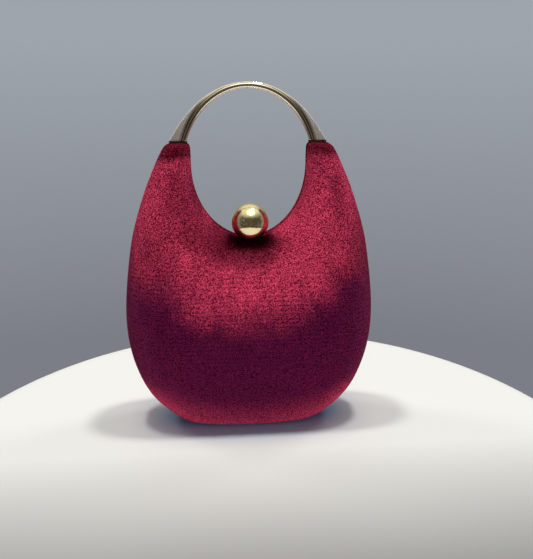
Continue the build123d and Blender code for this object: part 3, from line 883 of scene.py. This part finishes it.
# ------------------------------------------------------------------ slip pocket (m)
POCKET_COLS, POCKET_ROWS = 89, 63
POCKET_CORNER = 0.009  # radius of the lower corners
POCKET_FOLDS = 19
POCKET_PRESSURE = 2.0
POCKET_MAX_MOVE = 0.0008
POCKET_FRAMES = 20
POCKET_THICKNESS = 0.00038

STITCH_LENGTH, STITCH_GAP, STITCH_RADIUS = 0.0019, 0.0011, 0.00021
STITCH_SIDES = 8
STITCH_INSET = 2  # grid lines in from the pocket's edge
STITCH_OUT = np.array([0, -0.00030, 0])
# share of the length, share of the radius, rise in radii
STITCH_PROFILE = (
    (0, 0.30, -0.4), (0.12, 0.85, 0.25), (0.5, 1.0, 0.5), (0.88, 0.85, 0.25), (1, 0.30, -0.4),
)


def simulate(obj, pins):
    """Puff the cloth up, write the result back and let no point move further than the limit."""
    start = np.array([vertex.co[:] for vertex in obj.data.vertices])
    group = obj.vertex_groups.new(name="pin")
    for k, weight in enumerate(pins):
        if weight > 0:
            group.add([k], float(weight), "REPLACE")
    modifier = obj.modifiers.new("cloth", "CLOTH")
    cloth = modifier.settings
    cloth.quality = 8
    cloth.mass = 0.15
    cloth.tension_stiffness = cloth.compression_stiffness = 12
    cloth.shear_stiffness = 4
    cloth.bending_stiffness = 0.3
    cloth.use_pressure = True
    cloth.uniform_pressure_force = POCKET_PRESSURE
    cloth.effector_weights.gravity = 0.0
    cloth.vertex_group_mass = "pin"
    modifier.collision_settings.use_collision = False
    modifier.collision_settings.use_self_collision = False
    cache = modifier.point_cache
    cache.frame_start, cache.frame_end = 1, POCKET_FRAMES
    for number in range(1, POCKET_FRAMES + 1):
        scene.frame_set(number)
    graph = bpy.context.evaluated_depsgraph_get()
    result = obj.evaluated_get(graph).to_mesh()
    end = np.array([vertex.co[:] for vertex in result.vertices])
    obj.evaluated_get(graph).to_mesh_clear()
    move = end - start
    length = np.linalg.norm(move, axis=1)[:, None]
    move *= np.minimum(1.0, POCKET_MAX_MOVE / np.maximum(length, 1e-9))
    obj.modifiers.remove(modifier)
    obj.vertex_groups.remove(group)
    obj.data.vertices.foreach_set("co", (start + move).astype(np.float32).ravel())
    obj.data.update()
    scene.frame_set(1)


def stitches(name, path):
    """Short thread capsules laid along a path of points on the pocket's front."""
    path = np.array(path)
    steps = np.linalg.norm(np.diff(path, axis=0), axis=1)
    distance = np.concatenate([[0], np.cumsum(steps)])
    pitch = STITCH_LENGTH + STITCH_GAP
    levels = len(STITCH_PROFILE)
    capsule = grid_faces(levels, STITCH_SIDES, close_cols=True)
    capsule.append(tuple(reversed(range(STITCH_SIDES))))
    capsule.append(tuple(range((levels - 1) * STITCH_SIDES, levels * STITCH_SIDES)))
    verts, faces = [], []
    for k in range(int(distance[-1] / pitch)):
        start = (k + 0.25) * pitch
        line = [
            np.array([np.interp(start + STITCH_LENGTH * share, distance, path[:, axis])
                      for axis in range(3)])
            for share, _, _ in STITCH_PROFILE
        ]
        along = (line[-1] - line[0]) / max(np.linalg.norm(line[-1] - line[0]), 1e-9)
        sideways = np.cross(along, np.array([0.0, -1.0, 0.0]))
        sideways /= max(np.linalg.norm(sideways), 1e-9)
        outward = np.cross(sideways, along)
        first = len(verts)
        for point, (_, size, rise) in zip(line, STITCH_PROFILE):
            for j in range(STITCH_SIDES):
                angle = 2 * math.pi * j / STITCH_SIDES
                spoke = sideways * math.cos(angle) + outward * math.sin(angle)
                verts.append(
                    point + outward * rise * STITCH_RADIUS + spoke * STITCH_RADIUS * size)
        faces += [tuple(first + corner for corner in face) for face in capsule]
    obj = mesh_object(name, verts, faces)
    paint(obj, THREAD)
    attach(obj, "back")


def pocket_place(across, up, lo, hi):
    """x and z on the pocket's outline box, drawn in at the rounded lower corners."""
    x = lo[0] + (hi[0] - lo[0]) * across
    z = lo[2] + (hi[2] - lo[2]) * up
    over_x = max(0.0, POCKET_CORNER - min(x - lo[0], hi[0] - x))
    over_z = max(0.0, POCKET_CORNER - (z - lo[2]))
    if over_x > 0 and over_z > 0:
        pull = max(over_x, over_z) / math.hypot(over_x, over_z)
        if across < 0.5:
            x = lo[0] + POCKET_CORNER - over_x * pull
        else:
            x = hi[0] - POCKET_CORNER + over_x * pull
        z = lo[2] + POCKET_CORNER - over_z * pull
    return x, z


def pocket_lift(across, up, edge):
    """Distance of the pocket from the lining."""
    soft = edge * edge * (3 - 2 * edge)
    top = max(0.0, (up - 0.30) / 0.70) ** 1.5
    lift = 0.00050 + soft * (0.00060 + 0.00115 * top * math.sin(math.pi * across) ** 0.6)
    # elastic hem: soft vertical gathers that fade downwards
    fold = math.sin(across * 2 * math.pi * POCKET_FOLDS + 1.3 * math.sin(9 * across))
    fold *= 0.6 + 0.4 * math.sin(across * 31 + 1)
    fade = max(0.0, (up - 0.45) / 0.55) * (1.0 if up < 0.88 else 0.55)
    lift += 0.00024 * soft * fold * fade
    return lift + 0.00030 if up > 0.885 else lift


def make_pocket():
    lining = nodes["back_lining"].data
    tree = BVHTree.FromPolygons(
        [vertex.co[:] for vertex in lining.vertices], [face.vertices[:] for face in lining.polygons])
    lo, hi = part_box("lining_pocket")
    points, pins = [], []
    for i in range(POCKET_ROWS):
        up = i / (POCKET_ROWS - 1)
        for j in range(POCKET_COLS):
            across = j / (POCKET_COLS - 1)
            x, z = pocket_place(across, up, lo, hi)
            hit = tree.ray_cast(Vector((x, 0.0, z)), Vector((0, 1, 0)))
            wall = hit[0].y if hit[0] else 0.020
            edge = min(min(across, 1 - across) * 7.5, up * 6.0, 1.0)
            points.append((x, wall - pocket_lift(across, up, edge), z))
            pins.append(1.0 if (edge < 0.30 or up > 0.86) else 0.0)
    obj = mesh_object("slip_pocket", points, grid_faces(POCKET_ROWS, POCKET_COLS))
    paint(obj, SATIN)
    simulate(obj, pins)
    cloth = np.array([vertex.co[:] for vertex in obj.data.vertices])
    cloth = cloth.reshape(POCKET_ROWS, POCKET_COLS, 3) + STITCH_OUT
    solidify(obj, POCKET_THICKNESS, offset=0.0)
    subsurf(obj)
    attach(obj, "back", "lining_pocket")
    stitches("pocket_hem_stitches", cloth[int(POCKET_ROWS * 0.865)][2:-2])
    # down one side, along the bottom and up the other side
    stitches("pocket_edge_stitches", np.concatenate([
        cloth[:STITCH_INSET:-1, STITCH_INSET],
        cloth[STITCH_INSET, STITCH_INSET:-STITCH_INSET],
        cloth[STITCH_INSET:, -1 - STITCH_INSET],
    ]))


make_pocket()

# ------------------------------------------------------------------ ball knob (mm)
BALL_RADIUS = 12.3
BALL_CENTRE = np.array([0.0, -8.5, 144.9])
BALL_NECK = np.array([0.0, -0.9, 132.0])  # the bore points towards this place
BORE_RADIUS = 1.46
BORE_END = -6.4  # closed end of the bore, along the axis from the centre
BALL_STEPS, BALL_SIDES = 60, 96


def make_ball():
    axis = (BALL_CENTRE - BALL_NECK) / np.linalg.norm(BALL_CENTRE - BALL_NECK)
    sideways = np.array([1.0, 0, 0])
    other = np.cross(axis, sideways)
    mouth = math.asin(BORE_RADIUS / BALL_RADIUS)
    # down the bore to its mouth, a small chamfer, then round the outside
    profile = [
        (0.0, BORE_END), (BORE_RADIUS, BORE_END),
        (BORE_RADIUS, -BALL_RADIUS * math.cos(mouth) + 0.35),
    ]
    start = mouth + 0.035
    for k in range(BALL_STEPS + 1):
        angle = start + (math.pi - start) * k / BALL_STEPS
        profile.append((BALL_RADIUS * math.sin(angle), -BALL_RADIUS * math.cos(angle)))
    points = []
    for radius, height in profile:
        for j in range(BALL_SIDES):
            angle = 2 * math.pi * j / BALL_SIDES
            spoke = sideways * math.cos(angle) + other * math.sin(angle)
            points.append(BALL_CENTRE + axis * height + spoke * max(radius, 1e-4))
    faces = grid_faces(len(profile), BALL_SIDES, close_cols=True)
    obj = mesh_object("ball_knob", np.array(points) * MM, faces)
    paint(obj, BALL_GOLD)
    attach(obj, "clasp", "clasp_ball")


make_ball()

# ------------------------------------------------------------------ arch handle (mm)
HANDLE_Y, HANDLE_CENTRE_Z, FOOT_Z = 4.3, 187.5, 195.4
# degrees from the top of the arch, inner radius, width of the profile, radius of its bead
HANDLE_SECTIONS = [
    (92, 39.90, 14.90, 2.80), (83, 39.90, 12.30, 2.70), (76, 39.70, 10.20, 2.62),
    (68, 39.30, 8.65, 2.52), (57, 39.10, 7.05, 2.40), (45, 39.15, 5.90, 2.28),
    (30, 39.50, 4.98, 2.16), (13, 40.05, 4.33, 2.08), (0, 40.15, 4.25, 2.08),
]
HANDLE_ANGLES = 369
HANDLE_SAMPLES = 91  # sections from a foot to the top
CREASE_COS, CREASE_SIN = 0.694, 0.72  # where the bead meets the fin, in bead radii


def handle_profile(width, bead):
    """Closed loop (distance outwards, depth): round bead, fine groove, flat fin, rounded edge."""
    root = bead * CREASE_SIN
    edge = bead * (0.50 + 0.10 * min(1.0, max(0, width - 4) / 6))
    crease = bead * (1 + CREASE_COS)
    start = math.atan2(CREASE_SIN, CREASE_COS)
    loop = []
    for k in range(25):
        angle = start + (2 * math.pi - 2 * start) * k / 24
        loop.append((bead + bead * math.cos(angle), bead * math.sin(angle)))
    dip = 0.42 * min(1.0, max(0.0, (width - 4.4) / 1.5))
    flank = [(crease + 0.05, root - dip * 0.6), (crease + 0.17, root - dip)]
    # the fin is a touch hollow between the groove and its edge
    fin_start = crease + 0.34
    fin_end = width - 0.55 * edge
    for k in range(8):
        share = k / 7
        hollow = 0.12 * dip * math.sin(math.pi * share)
        flank.append((
            fin_start + (fin_end - fin_start) * share, root + (edge - root) * share - hollow))
    loop += [(out, -depth) for out, depth in flank]
    for k in range(1, 12):
        angle = math.pi / 2 * (1 - k / 6)
        loop.append((fin_end + (width - fin_end) * math.cos(angle), -edge * math.sin(angle)))
    return loop + flank[::-1][:8] + flank[1::-1][::-1][::-1]


def make_handle():
    sections = np.array(HANDLE_SECTIONS)
    sections = np.vstack([sections, (sections[:-1] * [-1, 1, 1, 1])[::-1]])
    angles = np.linspace(HANDLE_SECTIONS[0][0], 0, HANDLE_ANGLES)
    values = natural_spline(-sections[:, 0], sections[:, 1:], -angles)
    loops = np.array([handle_profile(width, bead) for _, width, bead in values])
    radius = values[:, :1] + loops[:, :, 0]
    turn = np.radians(angles)[:, None]
    x, y, z = (
        np.sin(turn) * radius, HANDLE_Y + loops[:, :, 1], HANDLE_CENTRE_Z + np.cos(turn) * radius)
    count = loops.shape[1]
    half = np.zeros((HANDLE_SAMPLES, count, 3))
    across = np.zeros((HANDLE_SAMPLES, count))
    for j in range(count):
        # each line of the profile starts where it meets the foot plane
        above = np.argmax(z[:, j] >= FOOT_Z)
        share = (FOOT_Z - z[above - 1, j]) / (z[above, j] - z[above - 1, j])
        start = angles[above - 1] + (angles[above] - angles[above - 1]) * share
        wanted = start * (1 - np.linspace(0, 1, HANDLE_SAMPLES) ** 1.05)
        for axis, source in enumerate((x, y, z)):
            half[:, j, axis] = np.interp(-wanted, -angles, source[:, j])
        half[0, j, 2] = FOOT_Z
        across[:, j] = np.interp(-wanted, -angles, loops[:, j, 0])
    points = np.concatenate([half, half[:-1][::-1] * [-1, 1, 1]])
    across = np.concatenate([across, across[:-1][::-1]])
    rows = len(points)
    faces = grid_faces(rows, count, close_cols=True, flip=True)
    faces += end_faces(rows, count)
    obj = mesh_object("arch_handle", points.reshape(-1, 3) * MM, faces)
    # places for the brushed finish: mm across the profile, and 0 to 150 along the arch
    along = np.repeat(np.linspace(0, 1, rows), count) * 150
    for name, data in (("across", across.ravel()), ("along", along)):
        layer = obj.data.attributes.new(name, "FLOAT", "POINT")
        layer.data.foreach_set("value", data.astype(np.float32))
    for face in list(obj.data.polygons)[-2:]:
        face.use_smooth = False
    paint(obj, HANDLE_GOLD)
    attach(obj, "back", "handle")


make_handle()

# ------------------------------------------------------------------ table (m)
TABLE_X, TABLE_Y, TABLE_RADIUS = 0.0055, -0.0718, 0.225
TABLE_SIDES = 160
# share of the radius, height
TABLE_PROFILE = [
    (0.0, 0.0), (0.6, 0.0), (0.97, 0.0), (0.99, 0.0), (1.0, -0.0012), (1.003, -0.004),
    (1.003, -0.022), (0.99, -0.026), (0.0, -0.026),
]


def table_material():
    mat = Surface("white_table")
    tone = mat.noise(scale=3, detail=2.0, rough=0.5)
    spots = mat.noise(scale=700, detail=2.0, rough=0.5)
    seen = mat.add("ShaderNodeLightPath").outputs["Is Camera Ray"]
    # painted shade: darker towards the camera, but only as the camera sees it
    near_painted_shade = mat.remap(mat.separate()[1], span=(-0.165, -0.050), out=(0.34, 1.0), smooth=False)
    near_painted_shade = mat.plus(near_painted_shade, mat.mul(mat.invert(near_painted_shade), mat.invert(seen)))
    # close under the purse the table is in deep, cool shade
    close = mat.add("ShaderNodeAmbientOcclusion")
    close.samples = 6
    close.inputs["Distance"].default_value = 0.040
    openness = mat.remap(close.outputs["AO"], span=(0.36, 0.80))
    shade = mat.mix(openness, (0.22, 0.38, 0.64), (1.0, 1.0, 1.0))
    white = mat.mix(tone, (0.83, 0.83, 0.795), (0.87, 0.87, 0.835))
    white = mat.mix(1.0, white, near_painted_shade, "MULTIPLY")
    mat.set(color=mat.mix(1.0, white, shade, "MULTIPLY"),
            rough=mat.linear(spots, gain=0.1, base=0.42), spec=0.35)
    return mat.material


def make_table():
    material = table_material()
    points = []
    for share, height in TABLE_PROFILE:
        radius = TABLE_RADIUS * max(share, 1e-4)
        for j in range(TABLE_SIDES):
            angle = 2 * math.pi * j / TABLE_SIDES
            points.append(
                (TABLE_X + radius * math.cos(angle), TABLE_Y + radius * math.sin(angle), height))
    rows = len(TABLE_PROFILE)
    faces = grid_faces(rows, TABLE_SIDES, close_cols=True, flip=True)
    faces += end_faces(rows, TABLE_SIDES)
    table = mesh_object("stage_table", np.array(points), faces)
    paint(table, material)
    return table


def make_recess(table):
    """Cut the table away where the front half dips below it as the purse opens at its base."""
    hull = bmesh.new()
    for vertex in velvet_front.data.vertices:
        hull.verts.new((vertex.co.x * 0.999, vertex.co.y, max(vertex.co.z, 0.0004)))
    bmesh.ops.convex_hull(hull, input=hull.verts)
    loose = [vertex for vertex in hull.verts if not vertex.link_faces]
    bmesh.ops.delete(hull, geom=loose, context="VERTS")
    bmesh.ops.recalc_face_normals(hull, faces=hull.faces)
    mesh = bpy.data.meshes.new("table_recess")
    hull.to_mesh(mesh)
    hull.free()
    recess = bpy.data.objects.new("table_recess", mesh)
    scene.collection.objects.link(recess)
    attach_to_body(recess, "front")
    recess.hide_render = True
    cut = table.modifiers.new("recess", "BOOLEAN")
    cut.operation, cut.object, cut.solver = "DIFFERENCE", recess, "EXACT"


make_recess(make_table())

# ------------------------------------------------------------------ lights
LAMP_TARGET = (0, 0, 0.08)
LAMP_COLOR = (1.0, 0.985, 0.95)
# name, place, diameter, watts
LAMPS = (
    ("lamp_right", (0.25, 0.03, 1.30), 0.12, 6.6),
    ("lamp_left", (-0.24, 0.03, 1.30), 0.12, 5.8),
    ("lamp_far_right", (0.95, 0.50, 0.95), 0.35, 3.4),
    ("lamp_far_left", (-0.95, 0.50, 0.95), 0.35, 3.4),
)


def disk_lamp(name, place, target, size, watts, color, glossy):
    data = bpy.data.lights.new(name, "AREA")
    data.energy, data.color = watts, color
    data.shape = "DISK"
    data.size = size
    lamp = bpy.data.objects.new(name, data)
    scene.collection.objects.link(lamp)
    lamp.location = place
    lamp.rotation_mode = "QUATERNION"
    lamp.rotation_quaternion = (Vector(target) - Vector(place)).to_track_quat("-Z", "Y")
    lamp.visible_glossy = glossy


# only one lamp shows up in reflections
for lamp_name, place, size, watts in LAMPS:
    disk_lamp(lamp_name, place, LAMP_TARGET, size, watts, LAMP_COLOR, lamp_name == "lamp_right")
disk_lamp("front_fill", place=(0.12, -1.25, 0.12), target=(0, 0, 0.1), size=0.5, watts=8.6,
          color=(0.95, 0.97, 1.0), glossy=False)


def make_world():
    world = bpy.data.worlds.new("studio")
    scene.world = world
    world.use_nodes = True
    sky = ShaderTree(world.node_tree, "Generated")
    _, toward_back, upward = sky.separate()
    # the wall as seen: paler above, darker towards the table
    wall = sky.add("ShaderNodeValToRGB")
    lower, upper = wall.color_ramp.elements
    lower.position, lower.color = 0.31, (0.200, 0.208, 0.238, 1)
    upper.position, upper.color = 0.52, (0.345, 0.375, 0.412, 1)
    sky.link(sky.remap(upward, span=(-1.0, 1.0), smooth=False), wall.inputs["Fac"])
    # what the metal mirrors: a dim room in front, paler low down, pale wall behind, bright ceiling
    low = sky.remap(upward, span=(-0.60, -0.48), out=(1.0, 0.0))
    front = sky.mix(low, (0.078, 0.074, 0.064), (0.46, 0.45, 0.41))
    clutter = sky.noise(scale=5.0, detail=3.0)
    front = sky.mix(sky.remap(clutter, span=(0.50, 0.66)), front, (0.14, 0.13, 0.10), "ADD")
    room = sky.mix(sky.remap(toward_back, span=(-0.55, 0.15)), front, (0.34, 0.355, 0.38))
    mirrored = sky.mix(sky.remap(upward, span=(0.42, 0.90)), room, (0.95, 0.93, 0.80))
    # a bright patch high in front
    aim = sky.add("ShaderNodeVectorMath")
    aim.operation = "DOT_PRODUCT"
    aim.inputs[1].default_value = (0.05, -0.39, 0.92)
    sky.link(sky.coord, aim.inputs[0])
    patch = sky.remap(aim.outputs["Value"], span=(0.90, 0.985))
    mirrored = sky.mix(patch, mirrored, (1.6, 1.55, 1.45), "ADD")
    # what lights the cloth and table: even and dim, a little cool
    overhead = sky.remap(upward, span=(0.1, 0.95))
    ambient = sky.mix(overhead, (0.040, 0.052, 0.085), (0.20, 0.205, 0.22))
    path = sky.add("ShaderNodeLightPath")
    seen = sky.mix(path.outputs["Is Glossy Ray"], ambient, mirrored)
    seen = sky.mix(path.outputs["Is Camera Ray"], seen, wall.outputs["Color"])
    background = sky.tree.nodes["Background"]
    sky.link(seen, background.inputs["Color"])
    background.inputs["Strength"].default_value = 1.0


make_world()

# ------------------------------------------------------------------ camera
CAMERA_PLACE = (-0.0235, -0.4166, 0.2375)
CAMERA_DIRECTION = (0.0796, 0.9479, -0.3085)

camera_data = bpy.data.cameras.new("camera")
camera_data.sensor_width = 36
camera_data.lens = 41.216458
camera_data.clip_start = 0.01
camera = bpy.data.objects.new("camera", camera_data)
scene.collection.objects.link(camera)
camera.location = CAMERA_PLACE
camera.rotation_mode = "QUATERNION"
camera.rotation_quaternion = Vector(CAMERA_DIRECTION).to_track_quat("-Z", "Y")
scene.camera = camera
scene.view_settings.view_transform = "Standard"
